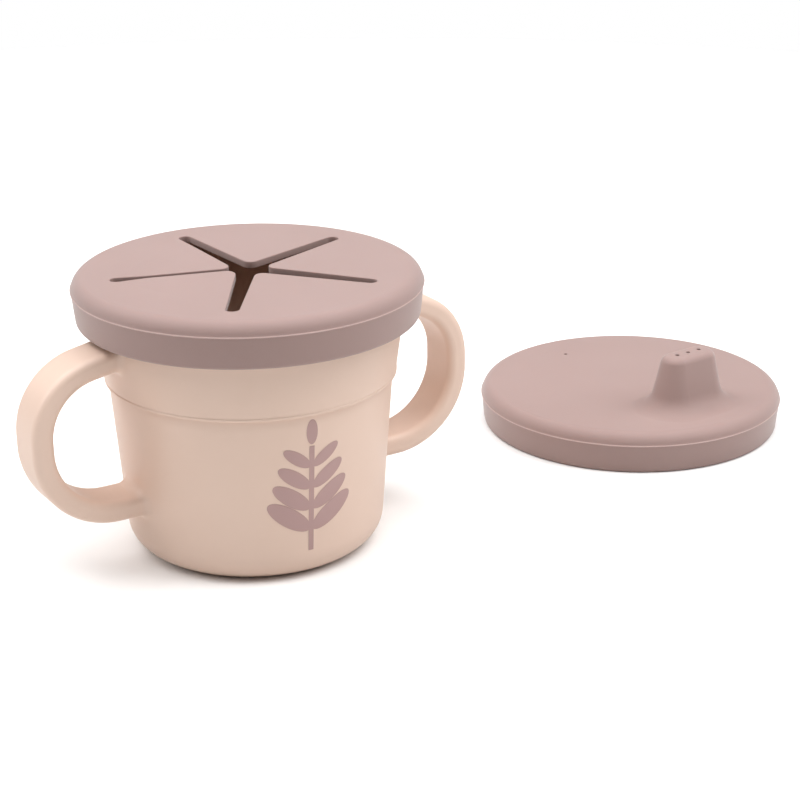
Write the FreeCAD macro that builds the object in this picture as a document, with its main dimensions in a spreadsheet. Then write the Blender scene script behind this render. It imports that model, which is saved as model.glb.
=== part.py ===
import FreeCAD, Part
import Sketcher
import math
import os

doc = FreeCAD.newDocument("SnackCup")

# Driving sizes: millimetres, degrees and counts
sizes = {
    # Cup: a cone, a wider band with a fine lip above it, and a bead round the rim under the lid
    "rim_height": 76.2,
    "band_radius": 40.0,
    "band_drop": 27.2,
    "band_flare": 3.9,
    "band_step": 0.8,
    "lip_step": 0.3,
    "lip_height": 0.6,
    "lip_round": 0.3,
    "body_taper": 3.8,
    "base_round": 8.3,
    "bead_step": 1.1,
    "bead_height": 3.2,
    "cup_wall": 2.1,
    "cup_floor": 2.4,
    "rim_round": 0.7,
    # Handles: flat straps bent into a loop on each side, close under the lid
    "handle_stand": 23.4,
    "handle_foot": 19.1,
    "handle_side": 3.2,
    "handle_slope": 10.8,
    "heel_extra": 2.6,
    "arm_run": 3.0,
    "handle_clearance": 2.0,
    "strap_width": 14.2,
    "strap_thick": 6.1,
    "strap_round": 2.2,
    "strap_blend": 2.6,
    # Lids: both are the same cap
    "lid_clearance": 0.15,
    "lid_plate": 2.0,
    "lid_dome": 3.7,
    "lid_shoulder": 4.0,
    "skirt_wall": 2.85,
    "skirt_height": 9.0,
    "skirt_taper": 1.1,
    "skirt_round": 1.1,
    # Star opening of the snack lid
    "flap_count": 5,
    "star_turn": 20.0,
    "star_margin": 4.1,
    "slit_width": 3.5,
    "slit_angle": 1.45,
    "hinge_inset": 2.0,
    "hinge_gap": 0.1,
    "flap_tip_round": 2.5,
    # Spout lid, lying beside the cup
    "loose_lid_gap": 28.7,
    "loose_lid_back": 13.3,
    "loose_lid_turn": 4.0,
    "spout_margin": 22.0,
    "spout_height": 17.0,
    "spout_base_width": 16.0,
    "spout_base_length": 26.0,
    "spout_top_width": 8.6,
    "spout_top_length": 18.0,
    "spout_wall": 2.0,
    "spout_foot_round": 7.0,
    "spout_tip_round": 2.6,
    "sip_hole": 1.4,
    "sip_pitch": 4.5,
    "vent_hole": 1.2,
    "vent_margin": 16.0,
    # Length by which a cut runs past the face that it opens
    "overrun": 1.0,
}
sheet = doc.addObject("Spreadsheet::Sheet", "Sizes")
for row, (alias, number) in enumerate(sizes.items(), start=1):
    sheet.set("A%d" % row, alias)
    sheet.set("B%d" % row, str(number))
    sheet.setAlias("B%d" % row, alias)
doc.recompute()


# A size carries its number, for the first drawing, and its expression, which binds it to the sheet
class Size:
    def __init__(self, number, text):
        self.number = number
        self.text = text

    def join(self, other, sign, number):
        return Size(number, "(%s %s %s)" % (self.text, sign, other.text))

    def __add__(self, other):
        return self.join(other, "+", self.number + other.number)

    def __sub__(self, other):
        return self.join(other, "-", self.number - other.number)

    def __mul__(self, other):
        return self.join(other, "*", self.number * other.number)

    def __truediv__(self, other):
        return self.join(other, "/", self.number / other.number)

    def __neg__(self):
        return Size(-self.number, "(0 - %s)" % self.text)


def size(alias):
    return Size(sheet.get(alias), "Sizes." + alias)


def plain(number):
    return Size(number, repr(number))


def sine(angle):
    return Size(math.sin(math.radians(angle.number)), "sin(%s)" % angle.text)


def cosine(angle):
    return Size(math.cos(math.radians(angle.number)), "cos(%s)" % angle.text)


def tangent(angle):
    return Size(math.tan(math.radians(angle.number)), "tan(%s)" % angle.text)


def root(value):
    return Size(math.sqrt(value.number), "sqrt(%s)" % value.text)


def smaller(one, other):
    return Size(min(one.number, other.number), "min(%s; %s)" % (one.text, other.text))


zero = plain(0)
half = plain(0.5)
# Most of its wall that a rounding may take
round_share = plain(0.45)
quarter_turn = 90
full_turn = 360
near = 0.01


# Bodies and sketches
def new_body(label):
    body = doc.addObject("PartDesign::Body", label)
    body.Label = label
    return body


def origin_item(body, role):
    return next(item for item in body.Origin.OriginFeatures if item.Role == role)


def new_sketch(body, name, role, lift=None):
    sketch = body.newObject("Sketcher::SketchObject", name)
    sketch.AttachmentSupport = [(origin_item(body, role), "")]
    sketch.MapMode = "FlatFace"
    if lift:
        sketch.setExpression("AttachmentOffset.Base.z", lift.text)
    return sketch


def point(x, y):
    return FreeCAD.Vector(x.number, y.number, 0)


def dimension(sketch, kind, value, *places):
    index = sketch.addConstraint(Sketcher.Constraint(kind, *places, value.number))
    sketch.setExpression("Constraints[%d]" % index, value.text)


# A sketch's numbers for the ends of a line or arc, the centre of an arc or circle, and its axes
first, last, middle = range(1, 4)
y_axis, x_axis = range(-2, 0)


def place(sketch, item, end, x=None, y=None):
    for value, kind, axis in ((x, "DistanceX", y_axis), (y, "DistanceY", x_axis)):
        if value is zero:
            sketch.addConstraint(Sketcher.Constraint("PointOnObject", item, end, axis))
        elif value:
            dimension(sketch, kind, value, item, end)


def join_ends(sketch, items, kind="Coincident"):
    for before, after in zip(items, items[1:]):
        sketch.addConstraint(Sketcher.Constraint(kind, before, last, after, first))


def draw_line(sketch, start, end):
    return sketch.addGeometry(Part.LineSegment(start, end), False)


def draw_arc(sketch, centre, radius, start, end):
    circle = Part.Circle(centre, FreeCAD.Vector(0, 0, 1), radius.number)
    return sketch.addGeometry(Part.ArcOfCircle(circle, math.radians(start), math.radians(end)), False)


# A closed outline of straight lines through the given corners
def draw_outline(sketch, corners):
    ends = corners[1:] + corners[:1]
    lines = [draw_line(sketch, point(*a), point(*b)) for a, b in zip(corners, ends)]
    join_ends(sketch, lines + lines[:1])
    for line, (x, y) in zip(lines, corners):
        place(sketch, line, first, x, y)
    return lines


# An oblong with round ends, its long way along X
def draw_oblong(sketch, length, width, x, y):
    reach = (length - width) * half
    radius = width * half
    right = draw_arc(sketch, point(x + reach, y), radius, -quarter_turn, quarter_turn)
    top = draw_line(sketch, point(x + reach, y + radius), point(x - reach, y + radius))
    left = draw_arc(sketch, point(x - reach, y), radius, quarter_turn, quarter_turn * 3)
    low = draw_line(sketch, point(x - reach, y - radius), point(x + reach, y - radius))
    join_ends(sketch, [right, top, left, low, right], "Tangent")
    dimension(sketch, "Radius", radius, right)
    place(sketch, right, middle, x + reach, y)
    place(sketch, left, middle, x - reach, y)


def draw_hole(sketch, diameter, x, y):
    circle = Part.Circle(point(x, y), FreeCAD.Vector(0, 0, 1), diameter.number / 2)
    hole = sketch.addGeometry(circle, False)
    dimension(sketch, "Diameter", diameter, hole)
    place(sketch, hole, middle, x, y)


# Features
def revolve(body, kind, sketch, name):
    feature = body.newObject("PartDesign::" + kind, name)
    feature.Profile = sketch
    feature.ReferenceAxis = (sketch, ["V_Axis"])
    feature.Angle = full_turn
    doc.recompute()
    return feature


def pad(body, sketch, name, length):
    feature = body.newObject("PartDesign::Pad", name)
    feature.Profile = sketch
    feature.SideType = "Symmetric"
    feature.setExpression("Length", length.text)
    doc.recompute()
    return feature


# A cut through the whole body, both ways from its sketch
def cut(body, sketch, name):
    before = body.Shape.Volume
    feature = body.newObject("PartDesign::Pocket", name)
    feature.Profile = sketch
    feature.Type = "ThroughAll"
    feature.SideType = "Symmetric"
    doc.recompute()
    if body.Shape.Volume >= before:
        raise RuntimeError("%s cuts nothing" % name)
    return feature


def loft(body, kind, name, lower, upper):
    feature = body.newObject("PartDesign::" + kind, name)
    feature.Profile = lower
    feature.Sections = [upper]
    doc.recompute()
    return feature


def repeat_round(body, feature, name, count):
    pattern = body.newObject("PartDesign::PolarPattern", name)
    pattern.Originals = [feature]
    pattern.Axis = (origin_item(body, "Z_Axis"), [""])
    pattern.Angle = full_turn
    pattern.setExpression("Occurrences", count.text)
    body.Tip = pattern
    doc.recompute()
    return pattern


def fillet(body, name, radius, wanted):
    base = body.Tip
    edges = ["Edge%d" % (number + 1) for number, edge in enumerate(base.Shape.Edges) if wanted(edge)]
    if not edges:
        raise RuntimeError("%s finds no edge" % name)
    feature = body.newObject("PartDesign::Fillet", name)
    feature.Base = (base, edges)
    feature.setExpression("Radius", radius.text)
    doc.recompute()
    return feature


# Points along an edge, and tests that pick edges out
def along(edge):
    steps = 5
    span = edge.LastParameter - edge.FirstParameter
    return [edge.valueAt(edge.FirstParameter + span * step / (steps - 1)) for step in range(steps)]


def from_axis(spot):
    return math.hypot(spot.x, spot.y)


def ring_at(radius, height):
    def test(edge):
        return all(
            abs(from_axis(spot) - radius.number) < near and abs(spot.z - height.number) < near
            for spot in along(edge)
        )
    return test


# Cup: outer form, handles, then the hollow inside
rim_height = size("rim_height")
band_radius = size("band_radius")
band_step = size("band_step")
band_height = rim_height - size("band_drop")
rim_radius = band_radius + size("band_flare")
bead_step = size("bead_step")
bead_radius = rim_radius + bead_step
bead_low = rim_height - size("bead_height")
bead_root = bead_low - bead_step
lip_radius = band_radius + size("lip_step")
lip_top = band_height + size("lip_height")
lip_root = lip_top + size("lip_step")


def band_radius_at(height):
    return band_radius + size("band_flare") * (height - band_height) / size("band_drop")


body_radius = band_radius - band_step
base_radius = body_radius - size("body_taper")
base_round = size("base_round")
cup_wall = size("cup_wall")
cup_floor = size("cup_floor")
overrun = size("overrun")

cup = new_body("cup_body")
outside = new_sketch(cup, "cup_outside", "XZ_Plane")
draw_outline(outside, [
    (zero, zero),
    (base_radius, zero),
    (body_radius, band_height),
    (lip_radius, band_height),
    (lip_radius, lip_top),
    (band_radius_at(lip_root), lip_root),
    (band_radius_at(bead_root), bead_root),
    (bead_radius, bead_low),
    (bead_radius, rim_height),
    (zero, rim_height),
])
revolve(cup, "Revolution", outside, "cup_form")
fillet(cup, "base_rounding", base_round, ring_at(base_radius, zero))
lip_round = smaller(size("lip_round"), size("lip_height") * plain(2) * round_share)
fillet(cup, "lip_rounding", lip_round, ring_at(lip_radius, band_height))
plain_cup = cup.Tip.Shape.Shells[0]

# Lid sizes that the handles and the lids share
lid_plate = size("lid_plate")
lid_clearance = size("lid_clearance")
skirt_height = size("skirt_height")
lid_height = skirt_height + size("lid_dome")
skirt_inner_radius = bead_radius + lid_clearance
lid_radius = skirt_inner_radius + size("skirt_wall")
snack_lid_lift = rim_height + lid_clearance + lid_plate - lid_height

# One handle: two bends joined by straight runs, as thick as the strap, from its foot to just below the lid.
# Both arms leave the cup straight, and a handle too tall for its bends has a longer straight side
strap_thick = size("strap_thick")
strap_half = strap_thick * half
strap_width = size("strap_width")
handle_slope = size("handle_slope")
handle_side = size("handle_side")
low_out = size("handle_foot") - strap_half
low_in = size("handle_foot") + strap_half
outer_reach = rim_radius + size("handle_stand")
inner_reach = outer_reach - strap_thick
slope_fall = (outer_reach - lid_radius) * tangent(handle_slope)
handle_span = snack_lid_lift - size("handle_clearance") - slope_fall - low_out
bend_rise = plain(1) / cosine(handle_slope) - tangent(handle_slope)
even_bend = (handle_span - handle_side - size("heel_extra")) / (plain(1) + bend_rise)
upper_room = (size("handle_stand") - size("arm_run")) / (plain(1) - sine(handle_slope))
lower_room = outer_reach - body_radius - size("arm_run")
upper_bend = smaller(even_bend, upper_room)
lower_bend = smaller(upper_bend + size("heel_extra"), lower_room)
upper_x = outer_reach - upper_bend
lower_x = outer_reach - lower_bend
upper_in_bend = upper_bend - strap_thick
lower_in_bend = lower_bend - strap_thick
low_centre = low_out + lower_bend
handle_top = low_out + handle_span - upper_bend * bend_rise
handle_root = base_radius - base_round
lean = plain(quarter_turn) - handle_slope


def slope_start(bend):
    return upper_x + bend * cosine(lean), handle_top + bend * sine(lean)


def slope_root(bend):
    x, y = slope_start(bend)
    return handle_root, y + (x - handle_root) * tangent(handle_slope)


strap = new_sketch(cup, "handle_outline", "XZ_Plane")
upper_out = draw_line(strap, point(*slope_root(upper_bend)), point(*slope_start(upper_bend)))
bend_out = draw_arc(strap, point(upper_x, handle_top), upper_bend, 0, lean.number)
side_out = draw_line(strap, point(outer_reach, handle_top), point(outer_reach, low_centre))
heel_out = draw_arc(strap, point(lower_x, low_centre), lower_bend, -quarter_turn, 0)
lower_out = draw_line(strap, point(lower_x, low_out), point(handle_root, low_out))
lower_end = draw_line(strap, point(handle_root, low_out), point(handle_root, low_in))
lower_in = draw_line(strap, point(handle_root, low_in), point(lower_x, low_in))
heel_in = draw_arc(strap, point(lower_x, low_centre), lower_in_bend, -quarter_turn, 0)
side_in = draw_line(strap, point(inner_reach, low_centre), point(inner_reach, handle_top))
bend_in = draw_arc(strap, point(upper_x, handle_top), upper_in_bend, 0, lean.number)
upper_in = draw_line(strap, point(*slope_start(upper_in_bend)), point(*slope_root(upper_in_bend)))
upper_end = draw_line(strap, point(*slope_root(upper_in_bend)), point(*slope_root(upper_bend)))
for before, before_end, after, after_end in (
    (upper_out, last, bend_out, last),
    (bend_out, first, side_out, first),
    (side_out, last, heel_out, last),
    (heel_out, first, lower_out, first),
    (lower_in, last, heel_in, first),
    (heel_in, last, side_in, first),
    (side_in, last, bend_in, first),
    (bend_in, last, upper_in, first),
):
    strap.addConstraint(Sketcher.Constraint("Tangent", before, before_end, after, after_end))
join_ends(strap, [lower_out, lower_end, lower_in])
join_ends(strap, [upper_in, upper_end, upper_out])
for outer_arc, outer_bend, inner_arc, inner_bend in (
    (bend_out, upper_bend, bend_in, upper_in_bend),
    (heel_out, lower_bend, heel_in, lower_in_bend),
):
    strap.addConstraint(Sketcher.Constraint("Coincident", outer_arc, middle, inner_arc, middle))
    dimension(strap, "Radius", outer_bend, outer_arc)
    dimension(strap, "Radius", inner_bend, inner_arc)
for upright in (side_out, lower_end, upper_end):
    strap.addConstraint(Sketcher.Constraint("Vertical", upright))
for level in (lower_out, lower_in):
    strap.addConstraint(Sketcher.Constraint("Horizontal", level))
strap.addConstraint(Sketcher.Constraint("Parallel", upper_in, upper_out))
drop = Size(-math.radians(handle_slope.number), "(0 - %s) * 1 deg" % handle_slope.text)
dimension(strap, "Angle", drop, upper_out)
place(strap, side_out, first, outer_reach)
place(strap, bend_out, middle, None, handle_top)
place(strap, lower_end, first, handle_root, low_out)
place(strap, upper_end, first, handle_root)

handle = pad(cup, strap, "handle_strap", strap_width)
handles = cup.newObject("PartDesign::Mirrored", "handle_pair")
handles.Originals = [handle]
handles.MirrorPlane = (origin_item(cup, "YZ_Plane"), [""])
cup.Tip = handles
doc.recompute()


# The strap's long edges lie in its two flat sides, and its roots follow the plain cup's skin
def on_cup(edge):
    return all(plain_cup.distToShape(Part.Vertex(spot))[0] < near for spot in along(edge))


def strap_edge(edge):
    flat = all(abs(abs(spot.y) - strap_width.number / 2) < near for spot in along(edge))
    return flat and not on_cup(edge)


# Only the straight seam of the cup's skin lies at Y = 0
def strap_root(edge):
    spots = along(edge)
    beside = all(abs(spot.y) < strap_width.number for spot in spots)
    seam = all(abs(spot.y) < near for spot in spots)
    return beside and not seam and on_cup(edge)


fillet(cup, "strap_rounding", smaller(size("strap_round"), strap_thick * round_share), strap_edge)
fillet(cup, "strap_blending", size("strap_blend"), strap_root)

# The hollow's corner is rounded inside the base's rounding, a wall's thickness away
inner_rim_radius = rim_radius - cup_wall
inner_body_radius = body_radius - cup_wall
inner_round = base_round - cup_wall
wall_lean = size("body_taper") / band_height
corner_height = cup_floor + inner_round
corner_fall = wall_lean * (band_height - corner_height)
corner_across = inner_round * root(plain(1) + wall_lean * wall_lean)
corner_radius = inner_body_radius - corner_fall - corner_across
lean_angle = math.degrees(math.atan(wall_lean.number))
hollow_top = rim_height + overrun
hollow = new_sketch(cup, "cup_hollow", "XZ_Plane")
corner_spot = point(corner_radius, corner_height)
wall_start = point(inner_body_radius - corner_fall, corner_height)
ground = draw_line(hollow, point(zero, cup_floor), point(corner_radius, cup_floor))
corner = draw_arc(hollow, corner_spot, inner_round, -quarter_turn, -lean_angle)
wall = draw_line(hollow, wall_start, point(inner_body_radius, band_height))
band = draw_line(hollow, point(inner_body_radius, band_height), point(inner_rim_radius, rim_height))
neck = draw_line(hollow, point(inner_rim_radius, rim_height), point(inner_rim_radius, hollow_top))
cover = draw_line(hollow, point(inner_rim_radius, hollow_top), point(zero, hollow_top))
core = draw_line(hollow, point(zero, hollow_top), point(zero, cup_floor))
join_ends(hollow, [ground, corner, wall], "Tangent")
join_ends(hollow, [wall, band, neck, cover, core, ground])
place(hollow, ground, first, zero, cup_floor)
place(hollow, corner, middle, corner_radius, corner_height)
dimension(hollow, "Radius", inner_round, corner)
place(hollow, band, first, inner_body_radius, band_height)
place(hollow, neck, first, inner_rim_radius, rim_height)
place(hollow, cover, first, inner_rim_radius, hollow_top)
place(hollow, core, first, zero, hollow_top)
solid_volume = cup.Shape.Volume
revolve(cup, "Groove", hollow, "cup_inside")
if cup.Shape.Volume >= solid_volume:
    raise RuntimeError("the cup stays solid")
rim_round = smaller(size("rim_round"), cup_wall * round_share)
fillet(cup, "rim_outer_rounding", rim_round, ring_at(bead_radius, rim_height))
fillet(cup, "rim_inner_rounding", rim_round, ring_at(inner_rim_radius, rim_height))

# Lids: a tapered skirt, a rounded shoulder and a flat plate
lid_shoulder = size("lid_shoulder")
skirt_low_radius = lid_radius - size("skirt_taper")
skirt_low_wall = skirt_low_radius - skirt_inner_radius
skirt_round = smaller(size("skirt_round"), skirt_low_wall * plain(2) * round_share)
# Place of the shoulder's centre, above the skirt's edge and inside the lid's radius
shoulder_rise = lid_shoulder.number - size("lid_dome").number
shoulder_across = math.sqrt(lid_shoulder.number ** 2 - shoulder_rise ** 2)
flat_radius = lid_radius.number - shoulder_across


def lid_cap(label):
    body = new_body(label)
    profile = new_sketch(body, label + "_profile", "XZ_Plane")
    start = math.degrees(math.atan2(shoulder_rise, shoulder_across))
    centre = FreeCAD.Vector(flat_radius, lid_height.number - lid_shoulder.number, 0)
    shoulder_end = FreeCAD.Vector(flat_radius, lid_height.number, 0)
    rim_line = draw_line(profile, point(skirt_inner_radius, zero), point(skirt_low_radius, zero))
    side = draw_line(profile, point(skirt_low_radius, zero), point(lid_radius, skirt_height))
    shoulder = draw_arc(profile, centre, lid_shoulder, start, quarter_turn)
    top = draw_line(profile, shoulder_end, point(zero, lid_height))
    axis = draw_line(profile, point(zero, lid_height), point(zero, lid_height - lid_plate))
    under = draw_line(
        profile,
        point(zero, lid_height - lid_plate),
        point(skirt_inner_radius, lid_height - lid_plate),
    )
    inside = draw_line(
        profile,
        point(skirt_inner_radius, lid_height - lid_plate),
        point(skirt_inner_radius, zero),
    )
    join_ends(profile, [rim_line, side, shoulder])
    join_ends(profile, [shoulder, top], "Tangent")
    join_ends(profile, [top, axis, under, inside, rim_line])
    place(profile, rim_line, first, skirt_inner_radius, zero)
    place(profile, side, first, skirt_low_radius, zero)
    place(profile, shoulder, first, lid_radius, skirt_height)
    dimension(profile, "Radius", lid_shoulder, shoulder)
    profile.addConstraint(Sketcher.Constraint("Horizontal", top))
    place(profile, axis, first, zero, lid_height)
    place(profile, under, first, zero, lid_height - lid_plate)
    place(profile, inside, first, skirt_inner_radius, lid_height - lid_plate)
    revolve(body, "Revolution", profile, label + "_cap")
    fillet(body, label + "_skirt_rounding", skirt_round, ring_at(skirt_low_radius, zero))
    return body


# Snack lid: the plate is open where the flaps lie, and the slits run on past them
flap_count = size("flap_count")
star_turn = size("star_turn")
slit_width = size("slit_width")
slit_half = slit_width * half
slit_angle = size("slit_angle")
slit_radius = inner_rim_radius - size("star_margin")
slit_end = slit_radius - slit_half
slit_spread = slit_half + slit_end * tangent(slit_angle)
flap_angle = plain(full_turn) / flap_count
flap_half_angle = flap_angle * half
flap_half_thick = lid_plate * half
hinge_radius = slit_radius * cosine(flap_half_angle) - size("hinge_inset")
seam_radius = hinge_radius + flap_half_thick + size("hinge_gap")
seam_corner = seam_radius / cosine(flap_half_angle)

snack_lid = lid_cap("snack_lid")
wedge = new_sketch(snack_lid, "flap_opening", "XY_Plane")
draw_outline(wedge, [
    (zero, zero),
    (seam_corner, zero),
    (seam_corner * cosine(flap_angle), seam_corner * sine(flap_angle)),
])
opening = cut(snack_lid, wedge, "flap_opening_cut")
repeat_round(snack_lid, opening, "flap_openings", flap_count)
slit = new_sketch(snack_lid, "slit_outline", "XY_Plane")
side_low = draw_line(slit, point(zero, -slit_spread), point(slit_end, -slit_half))
round_end = draw_arc(slit, point(slit_end, zero), slit_half, -quarter_turn, quarter_turn)
side_high = draw_line(slit, point(slit_end, slit_half), point(zero, slit_spread))
back = draw_line(slit, point(zero, slit_spread), point(zero, -slit_spread))
join_ends(slit, [side_low, round_end, side_high, back, side_low])
place(slit, round_end, middle, slit_end, zero)
place(slit, round_end, first, slit_end, -slit_half)
place(slit, round_end, last, slit_end)
place(slit, back, first, zero, slit_spread)
place(slit, back, last, zero, -slit_spread)
slit_cut = cut(snack_lid, slit, "slit_cut")
repeat_round(snack_lid, slit_cut, "slits", flap_count)
snack_lid.setExpression("Placement.Base.z", snack_lid_lift.text)
snack_lid.setExpression("Placement.Rotation.Angle", star_turn.text)

# Flaps: each turns on the round edge at its root
flap_spread = tangent(flap_half_angle + slit_angle)
slit_side = slit_end * sine(flap_half_angle) - slit_half * cosine(flap_half_angle)
slit_along = slit_end * cosine(flap_half_angle) + slit_half * sine(flap_half_angle)
tip_reach = hinge_radius + slit_side / flap_spread - slit_along
root_half = (tip_reach + flap_half_thick) * flap_spread
hinge_height = snack_lid_lift + lid_height - flap_half_thick
root_round_share = plain(0.49)


def root_edge(edge):
    spots = along(edge)
    level = abs(spots[0].z - spots[-1].z) < near
    return level and all(abs(spot.x - flap_half_thick.number) < near for spot in spots)


def tip_edge(edge):
    return all(abs(spot.x + tip_reach.number) < near for spot in along(edge))


flaps = []
for number in range(int(flap_count.number)):
    flap = new_body("snack_flap_%d" % (number + 1))
    leaf = new_sketch(flap, flap.Label + "_outline", "XY_Plane")
    draw_outline(leaf, [
        (-tip_reach, zero),
        (flap_half_thick, -root_half),
        (flap_half_thick, root_half),
    ])
    pad(flap, leaf, flap.Label + "_leaf", lid_plate)
    fillet(flap, flap.Label + "_tip", size("flap_tip_round"), tip_edge)
    fillet(flap, flap.Label + "_root", lid_plate * root_round_share, root_edge)
    facing = star_turn + flap_half_angle + flap_angle * plain(number)
    flap.setExpression("Placement.Rotation.Angle", facing.text)
    flap.setExpression("Placement.Base.x", (hinge_radius * cosine(facing)).text)
    flap.setExpression("Placement.Base.y", (hinge_radius * sine(facing)).text)
    flap.setExpression("Placement.Base.z", hinge_height.text)
    flaps.append(flap)

# Spout lid: the same cap with a hollow spout, drinking holes and a vent hole
spout_y = size("spout_margin") - lid_radius
spout_wall = size("spout_wall")
spout_height = size("spout_height")
spout_top = lid_height + spout_height
wall_pair = spout_wall + spout_wall
spout_lid = lid_cap("spout_lid")


def spout_section(name, lift, length, width):
    sketch = new_sketch(spout_lid, name, "XY_Plane", lift)
    draw_oblong(sketch, length, width, zero, spout_y)
    return sketch


base_length = size("spout_base_length")
base_width = size("spout_base_width")
top_length = size("spout_top_length")
top_width = size("spout_top_width")
foot = spout_section("spout_foot", lid_height, base_length, base_width)
tip = spout_section("spout_tip", spout_top, top_length, top_width)
loft(spout_lid, "AdditiveLoft", "spout", foot, tip)


# The spout's own edges at a height, without the ring where the lid's flat top meets its shoulder
def spout_ring(height):
    def test(edge):
        spots = along(edge)
        level = all(abs(spot.z - height.number) < near for spot in spots)
        return level and not all(abs(from_axis(spot) - flat_radius) < near for spot in spots)
    return test


fillet(spout_lid, "spout_foot_rounding", size("spout_foot_round"), spout_ring(lid_height))
fillet(spout_lid, "spout_tip_rounding", size("spout_tip_round"), spout_ring(spout_top))
well = spout_section("spout_well", lid_height - lid_plate, base_length - wall_pair, base_width - wall_pair)
roof = spout_section("spout_roof", spout_top - spout_wall, top_length - wall_pair, top_width - wall_pair)
full_volume = spout_lid.Shape.Volume
loft(spout_lid, "SubtractiveLoft", "spout_inside", well, roof)
if spout_lid.Shape.Volume >= full_volume:
    raise RuntimeError("the spout stays solid")
holes = new_sketch(spout_lid, "hole_outline", "XY_Plane")
for step in (-1, 0, 1):
    across = size("sip_pitch") * plain(step) if step else zero
    draw_hole(holes, size("sip_hole"), across, spout_y)
draw_hole(holes, size("vent_hole"), zero, lid_radius - size("vent_margin"))
cut(spout_lid, holes, "holes")
loose_lid_right = outer_reach + size("loose_lid_gap") + lid_radius
spout_lid.setExpression("Placement.Base.x", loose_lid_right.text)
spout_lid.setExpression("Placement.Base.y", size("loose_lid_back").text)
spout_lid.setExpression("Placement.Rotation.Angle", size("loose_lid_turn").text)
doc.recompute()

# Every object has to be sound before a file is written
for item in doc.Objects:
    if "Invalid" in item.State or "Error" in item.State:
        raise RuntimeError("%s failed: %s" % (item.Label, item.State))
parts = [cup, snack_lid] + flaps + [spout_lid]
for part in parts:
    if part.Shape.isNull() or not part.Shape.isValid() or len(part.Shape.Solids) != 1:
        raise RuntimeError("%s has no sound solid" % part.Label)
os.makedirs("parts", exist_ok=True)
for part in parts:
    part.Shape.exportStep("parts/%s.step" % part.Label)
    box = part.Shape.BoundBox
    print("%s: %.0f mm3, %.1f x %.1f x %.1f mm" % (
        part.Label, part.Shape.Volume, box.XLength, box.YLength, box.ZLength))
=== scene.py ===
from math import atan2, cos, degrees, hypot, pi, radians, sin, sqrt, tan

import bmesh
import bpy
from mathutils import Matrix, Vector


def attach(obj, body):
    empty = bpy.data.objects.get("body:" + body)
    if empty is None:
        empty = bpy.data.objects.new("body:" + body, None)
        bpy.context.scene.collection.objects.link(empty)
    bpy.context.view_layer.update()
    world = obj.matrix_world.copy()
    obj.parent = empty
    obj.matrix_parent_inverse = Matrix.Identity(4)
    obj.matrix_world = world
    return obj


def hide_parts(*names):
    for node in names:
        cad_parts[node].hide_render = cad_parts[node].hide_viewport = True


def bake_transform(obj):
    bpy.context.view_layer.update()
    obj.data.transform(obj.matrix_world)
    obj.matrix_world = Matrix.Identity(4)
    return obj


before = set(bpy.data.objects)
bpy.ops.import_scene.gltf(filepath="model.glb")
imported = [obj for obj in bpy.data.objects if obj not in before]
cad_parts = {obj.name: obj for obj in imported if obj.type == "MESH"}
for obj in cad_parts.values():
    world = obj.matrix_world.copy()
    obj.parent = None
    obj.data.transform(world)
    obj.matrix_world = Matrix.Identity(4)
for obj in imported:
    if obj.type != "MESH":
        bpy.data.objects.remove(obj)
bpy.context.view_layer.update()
scene = bpy.context.scene
mm = 0.001
print("frame loaded")

# Materials
skinGrain = {
    "cloudScale": 55, "cloudDetail": 3, "gritDetail": 4, "bumpDepth": 0.05 * mm,
    "scatter": (0.8 * mm, 0.4 * mm, 0.3 * mm), "lineHighlightMark": "paintedLineHighlight",
}


def newTree(name):
    material = bpy.data.materials.new(name)
    material.use_nodes = True
    return material, material.node_tree.nodes, material.node_tree.links


def mixColours(nodes, first, second):
    blend = nodes.new("ShaderNodeMix")
    blend.data_type = "RGBA"
    blend.inputs["A"].default_value = (*first, 1)
    blend.inputs["B"].default_value = (*second, 1)
    return blend


def makeGrain():
    group = bpy.data.node_groups.new("surfaceGrain", "ShaderNodeTree")
    for name in ("Scale", "Height"):
        group.interface.new_socket(name, in_out="INPUT", socket_type="NodeSocketFloat")
    group.interface.new_socket("Tone", in_out="OUTPUT", socket_type="NodeSocketFloat")
    group.interface.new_socket("Normal", in_out="OUTPUT", socket_type="NodeSocketVector")
    nodes, links = group.nodes, group.links
    source = nodes.new("NodeGroupInput")
    target = nodes.new("NodeGroupOutput")
    spot = nodes.new("ShaderNodeTexCoord")
    cloud = nodes.new("ShaderNodeTexNoise")  # broad, faint unevenness of the moulding
    cloud.inputs["Scale"].default_value = skinGrain["cloudScale"]
    cloud.inputs["Detail"].default_value = skinGrain["cloudDetail"]
    grit = nodes.new("ShaderNodeTexNoise")  # fine matt skin
    grit.inputs["Detail"].default_value = skinGrain["gritDetail"]
    bump = nodes.new("ShaderNodeBump")
    bump.inputs["Distance"].default_value = skinGrain["bumpDepth"]
    links.new(spot.outputs["Object"], cloud.inputs["Vector"])
    links.new(spot.outputs["Object"], grit.inputs["Vector"])
    links.new(source.outputs["Scale"], grit.inputs["Scale"])
    links.new(source.outputs["Height"], bump.inputs["Strength"])
    links.new(grit.outputs["Fac"], bump.inputs["Height"])
    links.new(cloud.outputs["Fac"], target.inputs["Tone"])
    links.new(bump.outputs["Normal"], target.inputs["Normal"])
    return group


grain = makeGrain()


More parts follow.
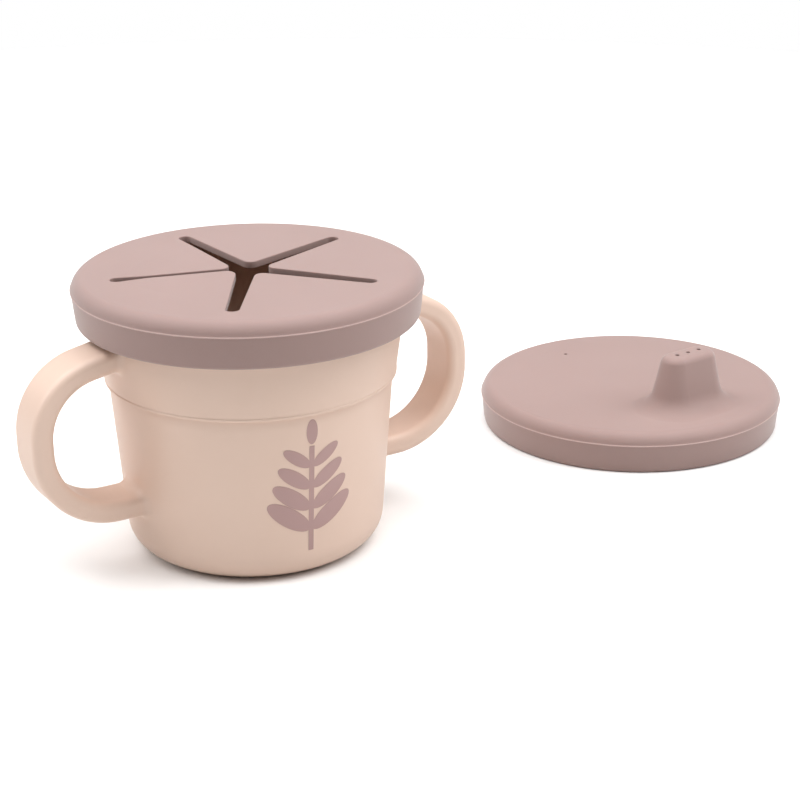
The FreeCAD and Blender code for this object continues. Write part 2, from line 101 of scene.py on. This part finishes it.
def moulded(look):
    material, nodes, links = newTree(look["name"])
    shader = nodes["Principled BSDF"]
    skin = nodes.new("ShaderNodeGroup")
    skin.node_tree = grain
    skin.inputs["Scale"].default_value = look["grainScale"]
    skin.inputs["Height"].default_value = look["grainHeight"]
    tint = mixColours(nodes, look["dark"], look["light"])
    links.new(skin.outputs["Tone"], tint.inputs["Factor"])
    colour = tint.outputs["Result"]
    # painted highlight: the parting line's faces get a paler colour that stands in for the light
    # the raised bead catches
    if "line" in look:
        highlightMask = nodes.new("ShaderNodeAttribute")
        highlightMask.attribute_name = skinGrain["lineHighlightMark"]
        paintedHighlight = mixColours(nodes, look["light"], look["line"])
        links.new(highlightMask.outputs["Fac"], paintedHighlight.inputs["Factor"])
        links.new(colour, paintedHighlight.inputs["A"])
        colour = paintedHighlight.outputs["Result"]
    rough = nodes.new("ShaderNodeMapRange")
    rough.inputs["To Min"].default_value = look["rough"] - look["roughSpread"]
    rough.inputs["To Max"].default_value = look["rough"] + look["roughSpread"]
    links.new(skin.outputs["Tone"], rough.inputs["Value"])
    links.new(colour, shader.inputs["Base Color"])
    links.new(rough.outputs["Result"], shader.inputs["Roughness"])
    links.new(skin.outputs["Normal"], shader.inputs["Normal"])
    shader.inputs["IOR"].default_value = look["ior"]
    shader.inputs["Sheen Weight"].default_value = look["sheen"]
    shader.inputs["Sheen Roughness"].default_value = look["sheenRough"]
    shader.inputs["Subsurface Weight"].default_value = look["depth"]
    shader.inputs["Subsurface Radius"].default_value = skinGrain["scatter"]
    shader.inputs["Subsurface Scale"].default_value = 1
    return material


cupPlastic = moulded({
    "name": "cupPlastic", "dark": (0.75, 0.558, 0.455), "light": (0.787, 0.595, 0.494),
    "rough": 0.42, "roughSpread": 0.04, "ior": 1.49, "sheen": 0, "sheenRough": 0.5,
    "grainScale": 1600, "grainHeight": 0.06, "depth": 0,
})
lidSilicone = moulded({
    "name": "lidSilicone", "dark": (0.334, 0.225, 0.205), "light": (0.36, 0.247, 0.227),
    # line: painted highlight colour for the parting line's faces
    "line": (0.5, 0.355, 0.33),
    "rough": 0.62, "roughSpread": 0.04, "ior": 1.4, "sheen": 0.34, "sheenRough": 0.45,
    "grainScale": 2400, "grainHeight": 0.16, "depth": 0.1,
})
printInk = moulded({
    "name": "printInk", "dark": (0.45, 0.288, 0.272), "light": (0.478, 0.31, 0.294),
    "rough": 0.5, "roughSpread": 0.03, "ior": 1.47, "sheen": 0, "sheenRough": 0.5,
    "grainScale": 1600, "grainHeight": 0.06, "depth": 0,
})
print("materials made")

# Shaping
shaping = {"match": 0.004 * mm, "merge": 0.003 * mm, "graze": 0.0005 * mm, "sharp": 36}


def addRow(bm, spots):
    verts = [bm.verts.new(spot) for spot in spots]
    return verts, [bm.edges.new(pair) for pair in zip(verts, verts[1:])]


def arcSpots(across, height, radius, start, end, steps):
    turns = [radians(start + (end - start) * step / steps) for step in range(steps + 1)]
    return [(across + radius * cos(turn), 0, height + radius * sin(turn)) for turn in turns]


def within(item, reach):
    return all(hypot(*vert.co.xy) < reach for vert in item.verts)


def loopEdges(verts):
    return list(dict.fromkeys(edge for vert in verts for edge in vert.link_edges))


def ringEdges(bm, radius, height):
    def lies(vert):
        off = max(abs(hypot(*vert.co.xy) - radius), abs(vert.co.z - height))
        return off < shaping["match"]
    return [edge for edge in bm.edges if all(lies(vert) for vert in edge.verts)]


def finishPiece(name, bm, material, nodes):
    bmesh.ops.remove_doubles(bm, verts=bm.verts, dist=shaping["merge"])
    bmesh.ops.recalc_face_normals(bm, faces=bm.faces)
    mesh = bpy.data.meshes.new(name)
    bm.to_mesh(mesh)
    bm.free()
    mesh.materials.append(material)
    mesh.shade_smooth()
    mesh.set_sharp_from_angle(angle=radians(shaping["sharp"]))
    piece = bpy.data.objects.new(name, mesh)
    scene.collection.objects.link(piece)
    if nodes:
        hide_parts(*nodes)
    return piece


# Cap that both lids share: shoulder, fine raised parting line with a painted highlight, tapered
# skirt and its inside
cap = {
    "radius": 47.85 * mm, "height": 12.7 * mm, "plate": 2.0 * mm, "shoulder": 4.0 * mm,
    "skirt": 9.0 * mm, "taper": 0.95 * mm, "inner": 45.15 * mm, "edge": 1.1 * mm,
    "innerEdge": 0.35 * mm, "line": 0.2 * mm, "lineSweep": 75, "lineFree": 5,
    "lineBelow": 1.2 * mm, "steps": 192, "shoulderSteps": 14, "lineSteps": 6, "edgeSteps": 6,
    "innerSteps": 3,
}
cap["rise"] = cap["height"] - cap["shoulder"]
cap["flat"] = cap["radius"] - sqrt(cap["shoulder"] ** 2 - (cap["skirt"] - cap["rise"]) ** 2)
cap["under"] = cap["height"] - cap["plate"]


def addCap(bm):
    # the parting line's faces are marked for a painted highlight in the lid's material
    highlightMask = bm.faces.layers.float.new(skinGrain["lineHighlightMark"])
    lean = cap["taper"] / cap["skirt"]
    low = degrees(atan2(cap["skirt"] - cap["rise"], cap["radius"] - cap["flat"]))
    stop = low + cap["lineFree"]
    sweep, below = cap["lineSweep"], cap["lineBelow"]
    edge, inner = cap["edge"], cap["innerEdge"]
    edgeAcross = cap["radius"] - cap["taper"] + lean * edge - edge * sqrt(1 + lean ** 2)
    spots = arcSpots(cap["flat"], cap["rise"], cap["shoulder"], 90, stop, cap["shoulderSteps"])
    spots += arcSpots(cap["radius"], cap["skirt"], cap["line"], sweep, -sweep, cap["lineSteps"])
    spots += [(cap["radius"] - lean * below, 0, cap["skirt"] - below)]
    spots += arcSpots(edgeAcross, edge, edge, -degrees(lean), -90, cap["edgeSteps"])
    spots += arcSpots(cap["inner"] + inner, inner, inner, 270, 180, cap["innerSteps"])
    spots += [(cap["inner"], 0, cap["under"]), (cap["flat"], 0, cap["under"])]
    verts, edges = addRow(bm, spots)
    bmesh.ops.spin(
        bm, geom=verts + edges, cent=(0, 0, 0), axis=(0, 0, 1), angle=2 * pi,
        steps=cap["steps"], use_merge=True)
    for face in bm.faces:
        spot = face.calc_center_median()
        level = abs(spot.z - cap["skirt"]) < cap["line"]
        face[highlightMask] = float(level and hypot(*spot.xy) > cap["radius"])


# Snack lid: a plate cut by a star into five flaps, parted from it along the lines where they bend
star = {
    "count": 5, "turn": 20, "lift": 65.65 * mm, "end": 37.5 * mm, "half": 1.75 * mm,
    "spread": 1.45, "tipRound": 2.5 * mm, "seam": 29.6 * mm, "bend": 6.0 * mm, "cuts": 10,
    "soft": 0.28 * mm, "band": 0.7 * mm, "endShare": 0.999, "endSteps": 8, "tipSteps": 10,
    "softSteps": 4, "settle": ((0, 0), (-0.3, 0.05), (0.5, 0.07), (0, 0), (0, 0)),
}


def flapAxis(number):
    turn = radians(star["turn"] + 360 / star["count"] * (number + 0.5))
    return Vector((cos(turn), sin(turn), 0))


def inWedge(face, axis):
    spot = face.calc_center_median()
    return Vector((spot.x, spot.y, 0)).angle(axis, 0) < pi / star["count"]


def isFlap(face, number):
    axis = flapAxis(number)
    return inWedge(face, axis) and face.calc_center_median().dot(axis) < star["seam"]


def starOutline(bm):
    step = 2 * pi / star["count"]
    spread = radians(star["spread"])
    wide = star["half"] + (star["end"] - star["half"]) * tan(spread)
    tip = wide / sin(step / 2 + spread)
    ends, tips, order = [], [], []
    for number in range(star["count"]):
        turn = radians(star["turn"]) + number * step
        between = turn + step / 2
        for side in (-1, 1):
            corner = Vector((star["end"], side * star["half"], cap["height"]))
            ends.append(bm.verts.new(Matrix.Rotation(turn, 3, "Z") @ corner))
        tips.append(bm.verts.new((tip * cos(between), tip * sin(between), cap["height"])))
        order += [*ends[-2:], tips[-1]]
    bm.faces.new(order)
    endCut = star["half"] * star["endShare"]
    tipCut = star["tipRound"] / tan(step / 2 + spread)
    for corners, cut, steps in ((ends, endCut, star["endSteps"]), (tips, tipCut, star["tipSteps"])):
        bmesh.ops.bevel(
            bm, geom=corners, offset=cut, offset_type="OFFSET", segments=steps, profile=0.5,
            affect="VERTICES", material=-1)
    edges = bm.edges[:]
    bmesh.ops.delete(bm, geom=bm.faces[:], context="FACES_ONLY")
    return edges


def starPlate():
    bm = bmesh.new()
    outline = starOutline(bm)
    rim = bmesh.ops.create_circle(
        bm, cap_ends=False, radius=cap["flat"], segments=cap["steps"])["verts"]
    bmesh.ops.translate(bm, verts=rim, vec=(0, 0, cap["height"]))
    filled = bmesh.ops.triangle_fill(
        bm, edges=outline + loopEdges(rim), use_beauty=True, normal=(0, 0, 1))["geom"]
    top = [item for item in filled if isinstance(item, bmesh.types.BMFace)]
    bmesh.ops.inset_region(
        bm, faces=top, thickness=star["band"], use_boundary=True, use_even_offset=True)
    under = bmesh.ops.duplicate(bm, geom=bm.faces[:])["geom"]
    lower = [item for item in under if isinstance(item, bmesh.types.BMVert)]
    bmesh.ops.translate(bm, verts=lower, vec=(0, 0, -cap["plate"]))
    reach = cap["flat"] - star["band"]
    walls = [edge for edge in bm.edges if edge.is_boundary and within(edge, reach)]
    bmesh.ops.bridge_loops(bm, edges=walls)
    bmesh.ops.recalc_face_normals(bm, faces=bm.faces)
    bmesh.ops.bevel(
        bm, geom=walls, offset=star["soft"], offset_type="OFFSET", segments=star["softSteps"],
        profile=0.5, affect="EDGES", material=-1)
    return bm


plateReach = cap["flat"] - star["band"] / 2


def cutFlaps(bm):
    for number in range(star["count"]):
        axis = flapAxis(number)
        for step in range(star["cuts"] + 1):
            reach = star["seam"] - star["bend"] * step / star["cuts"]
            faces = [
                face for face in bm.faces if inWedge(face, axis) and within(face, plateReach)]
            parts = dict.fromkeys(
                item for face in faces for item in (face, *face.edges, *face.verts))
            bmesh.ops.bisect_plane(
                bm, geom=list(parts), dist=shaping["graze"], plane_co=axis * reach, plane_no=axis)


whole = starPlate()
cutFlaps(whole)
setDown = Matrix.Translation((0, 0, star["lift"]))


def takePart(keep):
    part = whole.copy()
    spare = [face for face in part.faces if not keep(face)]
    bmesh.ops.delete(part, geom=spare, context="FACES")
    seams = [edge for edge in part.edges if edge.is_boundary and within(edge, plateReach)]
    bmesh.ops.holes_fill(part, edges=seams)
    return part


def settleFlap(part, number):  # soft flaps never lie quite level
    rise, twist = star["settle"][number]
    axis = flapAxis(number)
    across = axis.cross(Vector((0, 0, 1)))
    for vert in part.verts:
        share = max(0, (star["seam"] - vert.co.dot(axis)) / star["seam"])
        vert.co.z += rise * mm * share * (2 - share) + twist * vert.co.dot(across) * share


lidMesh = takePart(lambda face: not any(isFlap(face, number) for number in range(star["count"])))
addCap(lidMesh)
bmesh.ops.transform(lidMesh, matrix=setDown, verts=lidMesh.verts)
snackLid = finishPiece("snackLid", lidMesh, lidSilicone, ["snack_lid"])
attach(snackLid, "snack_lid")
for number in range(star["count"]):
    flapMesh = takePart(lambda face: isFlap(face, number))
    settleFlap(flapMesh, number)
    bmesh.ops.transform(flapMesh, matrix=setDown, verts=flapMesh.verts)
    node = "snack_flap_%d" % (number + 1)
    flap = finishPiece(
        "snackFlap%d" % (number + 1), flapMesh, lidSilicone, [node])
    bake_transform(flap)
whole.free()
print("snack lid made")

# Spout lid: the same cap with a flared hollow spout, three drinking holes and a vent
spout = {
    "spot": (144.0 * mm, 13.3 * mm, 0), "turn": 4, "back": -26.0 * mm, "rise": 17.0 * mm,
    "footLength": 26.0 * mm, "footWidth": 16.0 * mm, "topLength": 18.0 * mm,
    "topWidth": 8.6 * mm, "wall": 2.0 * mm, "flare": 7.0 * mm, "tip": 2.6 * mm,
    "hole": 0.7 * mm, "pitch": 4.5 * mm, "vent": 0.6 * mm, "ventSpot": 32.0 * mm,
    "steps": 64, "curveSteps": 8, "holeSteps": 24,
}


def oblong(bm, length, width, height):
    steps = spout["steps"]
    verts = bmesh.ops.create_circle(bm, cap_ends=False, radius=width / 2, segments=steps)["verts"]
    turn = Matrix.Rotation(pi / steps, 3, "Z")
    bmesh.ops.rotate(bm, verts=verts, cent=(0, 0, 0), matrix=turn)
    for side in (-1, 1):
        half = [vert for vert in verts if vert.co.x * side > 0]
        shift = (side * (length - width) / 2, spout["back"], height)
        bmesh.ops.translate(bm, verts=half, vec=shift)
    return loopEdges(verts)


def roundHole(bm, radius, across, along, height):
    verts = bmesh.ops.create_circle(
        bm, cap_ends=False, radius=radius, segments=spout["holeSteps"])["verts"]
    bmesh.ops.translate(bm, verts=verts, vec=(across, along, height))
    return loopEdges(verts)


def outerLevels():
    inward = (spout["footWidth"] - spout["topWidth"]) / 2
    slope = atan2(spout["rise"], inward)
    steps = spout["curveSteps"]
    turns = [slope * step / steps for step in range(steps + 1)]
    flare, tip = spout["flare"], spout["tip"]
    foot = flare * tan(slope / 2)  # along the plate from the foot to the flare's end
    top = inward + tip * tan(slope / 2)
    levels = [(foot - flare * sin(turn), flare * (1 - cos(turn))) for turn in turns]
    turns.reverse()
    levels += [(tip * sin(turn) - top, spout["rise"] - tip * (1 - cos(turn))) for turn in turns]
    return levels


spoutMesh = bmesh.new()
addCap(spoutMesh)
footLength, footWidth = spout["footLength"], spout["footWidth"]
outer = [
    oblong(spoutMesh, footLength + 2 * out, footWidth + 2 * out, cap["height"] + rise)
    for out, rise in outerLevels()]
wallPair = 2 * spout["wall"]
well = oblong(spoutMesh, footLength - wallPair, footWidth - wallPair, cap["under"])
tipHeight = cap["height"] + spout["rise"]
roofHeight = tipHeight - spout["wall"]
roof = oblong(spoutMesh, spout["topLength"] - wallPair, spout["topWidth"] - wallPair, roofHeight)
for lower, upper in [*zip(outer, outer[1:]), (well, roof)]:
    bmesh.ops.bridge_loops(spoutMesh, edges=lower + upper)
sips = [
    [
        roundHole(spoutMesh, spout["hole"], spout["pitch"] * step, spout["back"], height)
        for step in (-1, 0, 1)]
    for height in (tipHeight, roofHeight)]
vents = [
    roundHole(spoutMesh, spout["vent"], 0, spout["ventSpot"], height)
    for height in (cap["height"], cap["under"])]
for upper, lower in [*zip(*sips), vents]:
    bmesh.ops.bridge_loops(spoutMesh, edges=upper + lower)
fills = (
    (outer[-1] + sum(sips[0], []), 1),
    (roof + sum(sips[1], []), -1),
    (ringEdges(spoutMesh, cap["flat"], cap["height"]) + outer[0] + vents[0], 1),
    (ringEdges(spoutMesh, cap["flat"], cap["under"]) + well + vents[1], -1),
)
for edges, facing in fills:
    bmesh.ops.triangle_fill(spoutMesh, edges=edges, use_beauty=True, normal=(0, 0, facing))
setAside = Matrix.Translation(spout["spot"]) @ Matrix.Rotation(radians(spout["turn"]), 4, "Z")
bmesh.ops.transform(spoutMesh, matrix=setAside, verts=spoutMesh.verts)
spoutLid = finishPiece("spoutLid", spoutMesh, lidSilicone, ["spout_lid"])
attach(spoutLid, "spout_lid")
print("spout lid made")

# Cup: the CAD shape with a satin finish
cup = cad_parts["cup_body"]
cup.data.materials.clear()
cup.data.materials.append(cupPlastic)

# Print on the cup's front: a sprig of paired leaves
sprig = {
    "baseRadius": 35.4 * mm, "bodyTaper": 3.8 * mm, "bodyHeight": 49.0 * mm, "lift": 0.04 * mm,
    "turn": -94, "low": 9.0 * mm, "stem": 31.0 * mm, "stemWidth": 1.5 * mm, "pairs": 4,
    "leafLength": 14.5 * mm, "leafWidth": 5.4 * mm, "lean": 36, "startShare": 0.3,
    "shrinkShare": 0.12, "endLengthShare": 0.5, "endWidthShare": 0.6, "leafSteps": 28,
    "stemColumns": 3, "stemRows": 30, "cuts": 3,
}


def addLeaf(bm, height, side, lean, length, width):
    verts = bmesh.ops.create_circle(
        bm, cap_ends=True, cap_tris=True, radius=0.5, segments=sprig["leafSteps"])["verts"]
    bmesh.ops.scale(bm, verts=verts, vec=(length, width, 1))
    start = sprig["stemWidth"] * sprig["startShare"]
    bmesh.ops.translate(bm, verts=verts, vec=(length / 2 + start, 0, 0))
    turn = radians(lean) if side > 0 else pi - radians(lean)
    bmesh.ops.rotate(bm, verts=verts, cent=(0, 0, 0), matrix=Matrix.Rotation(turn, 3, "Z"))
    bmesh.ops.translate(bm, verts=verts, vec=(0, height, 0))


def wrapFront(bm):
    taper = sprig["bodyTaper"] / sprig["bodyHeight"]
    for vert in bm.verts:
        radius = sprig["baseRadius"] + taper * vert.co.y
        turn = vert.co.x / radius + radians(sprig["turn"])
        reach = radius + sprig["lift"]
        vert.co = Vector((reach * cos(turn), reach * sin(turn), vert.co.y))


sprigMesh = bmesh.new()
stem = bmesh.ops.create_grid(
    sprigMesh, x_segments=sprig["stemColumns"], y_segments=sprig["stemRows"], size=0.5)["verts"]
bmesh.ops.scale(sprigMesh, verts=stem, vec=(sprig["stemWidth"], sprig["stem"], 1))
bmesh.ops.translate(sprigMesh, verts=stem, vec=(0, sprig["low"] + sprig["stem"] / 2, 0))
leafLength, leafWidth = sprig["leafLength"], sprig["leafWidth"]
for pair in range(sprig["pairs"]):
    height = sprig["low"] + sprig["stem"] * (pair + 1) / (sprig["pairs"] + 1)
    size = 1 - sprig["shrinkShare"] * pair
    for side in (-1, 1):
        addLeaf(sprigMesh, height, side, sprig["lean"], leafLength * size, leafWidth * size)
addLeaf(
    sprigMesh, sprig["low"] + sprig["stem"], 1, 90, leafLength * sprig["endLengthShare"],
    leafWidth * sprig["endWidthShare"])
bmesh.ops.subdivide_edges(
    sprigMesh, edges=sprigMesh.edges[:], cuts=sprig["cuts"], use_grid_fill=True)
wrapFront(sprigMesh)
cupPrint = finishPiece("cupPrint", sprigMesh, printInk, [])
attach(cupPrint, "cup")
print("cup and print made")

# Floor, backdrop, light and camera
studio = {
    "floor": 0.75, "floorSteps": 96, "floorRough": 0.9, "floorShine": 0.1,
    "floorColour": (1, 1, 1), "bounceColour": (0.8, 0.79, 0.78), "ambient": 0.02,
    "aim": (0.05, 0, 0.05), "eye": (-238.39 * mm, -463.86 * mm, 237.438 * mm),
    "heading": 31.715, "pitch": 20.827, "roll": -0.47, "lens": 90, "sensor": 36,
}
floorMesh = bmesh.new()
bmesh.ops.create_circle(
    floorMesh, cap_ends=True, radius=studio["floor"], segments=studio["floorSteps"])
floorData = bpy.data.meshes.new("floor")
floorMesh.to_mesh(floorData)
floorMesh.free()
floor = bpy.data.objects.new("floor", floorData)
scene.collection.objects.link(floor)
paper, paperNodes, paperLinks = newTree("paleFloor")
paperShader = paperNodes["Principled BSDF"]
paperTint = mixColours(paperNodes, studio["bounceColour"], studio["floorColour"])
paperPath = paperNodes.new("ShaderNodeLightPath")
paperLinks.new(paperPath.outputs["Is Camera Ray"], paperTint.inputs["Factor"])
paperLinks.new(paperTint.outputs["Result"], paperShader.inputs["Base Color"])
paperShader.inputs["Roughness"].default_value = studio["floorRough"]
paperShader.inputs["Specular IOR Level"].default_value = studio["floorShine"]
floorData.materials.append(paper)

world = bpy.data.worlds.new("studioWhite")
scene.world = world
world.use_nodes = True
worldNodes, worldLinks = world.node_tree.nodes, world.node_tree.links
worldNodes.clear()
seen = worldNodes.new("ShaderNodeBackground")
unseen = worldNodes.new("ShaderNodeBackground")
unseen.inputs["Strength"].default_value = studio["ambient"]
for shade in (seen, unseen):
    shade.inputs["Color"].default_value = (1, 1, 1, 1)
path = worldNodes.new("ShaderNodeLightPath")
mix = worldNodes.new("ShaderNodeMixShader")
out = worldNodes.new("ShaderNodeOutputWorld")
worldLinks.new(path.outputs["Is Camera Ray"], mix.inputs["Fac"])
worldLinks.new(unseen.outputs["Background"], mix.inputs[1])
worldLinks.new(seen.outputs["Background"], mix.inputs[2])
worldLinks.new(mix.outputs["Shader"], out.inputs["Surface"])


def addLight(name, spot, width, depth, power):
    data = bpy.data.lights.new(name, "AREA")
    data.shape = "RECTANGLE"
    data.size = width
    data.size_y = depth
    data.energy = power
    lamp = bpy.data.objects.new(name, data)
    facing = (Vector(studio["aim"]) - Vector(spot)).to_track_quat("-Z", "Y")
    lamp.matrix_world = Matrix.Translation(spot) @ facing.to_matrix().to_4x4()
    scene.collection.objects.link(lamp)


addLight("topLight", (0.05, 0, 1.3), 1.6, 1.6, 20)  # metres and watts
addLight("frontLight", (-0.25, -0.5, 1.15), 1.4, 1.2, 3.3)
addLight("backLight", (0.47, 0.77, 1.0), 1.4, 1.2, 2.8)
addLight("leftLight", (-0.81, 0.5, 0.95), 1.0, 1.0, 8.6)
addLight("leftFill", (-1.02, 0.63, 0.4), 0.9, 0.7, 1.2)
addLight("rightLight", (0.81, -0.5, 0.95), 1.0, 1.0, 10.5)

heading, pitch, roll = (radians(studio[key]) for key in ("heading", "pitch", "roll"))
ahead = Vector((sin(heading), cos(heading), 0))
sideways = Vector((cos(heading), -sin(heading), 0))
forward = ahead * cos(pitch) - Vector((0, 0, sin(pitch)))
upright = ahead * sin(pitch) + Vector((0, 0, cos(pitch)))
right = sideways * cos(roll) + upright * sin(roll)
up = upright * cos(roll) - sideways * sin(roll)
lensData = bpy.data.cameras.new("photoView")
lensData.lens = studio["lens"]
lensData.sensor_width = studio["sensor"]
camera = bpy.data.objects.new("photoView", lensData)
turned = Matrix((right, up, -forward)).transposed().to_4x4()
camera.matrix_world = Matrix.Translation(studio["eye"]) @ turned
scene.collection.objects.link(camera)
scene.camera = camera
scene.view_settings.view_transform = "Standard"
print("studio made")

bpy.context.view_layer.update()
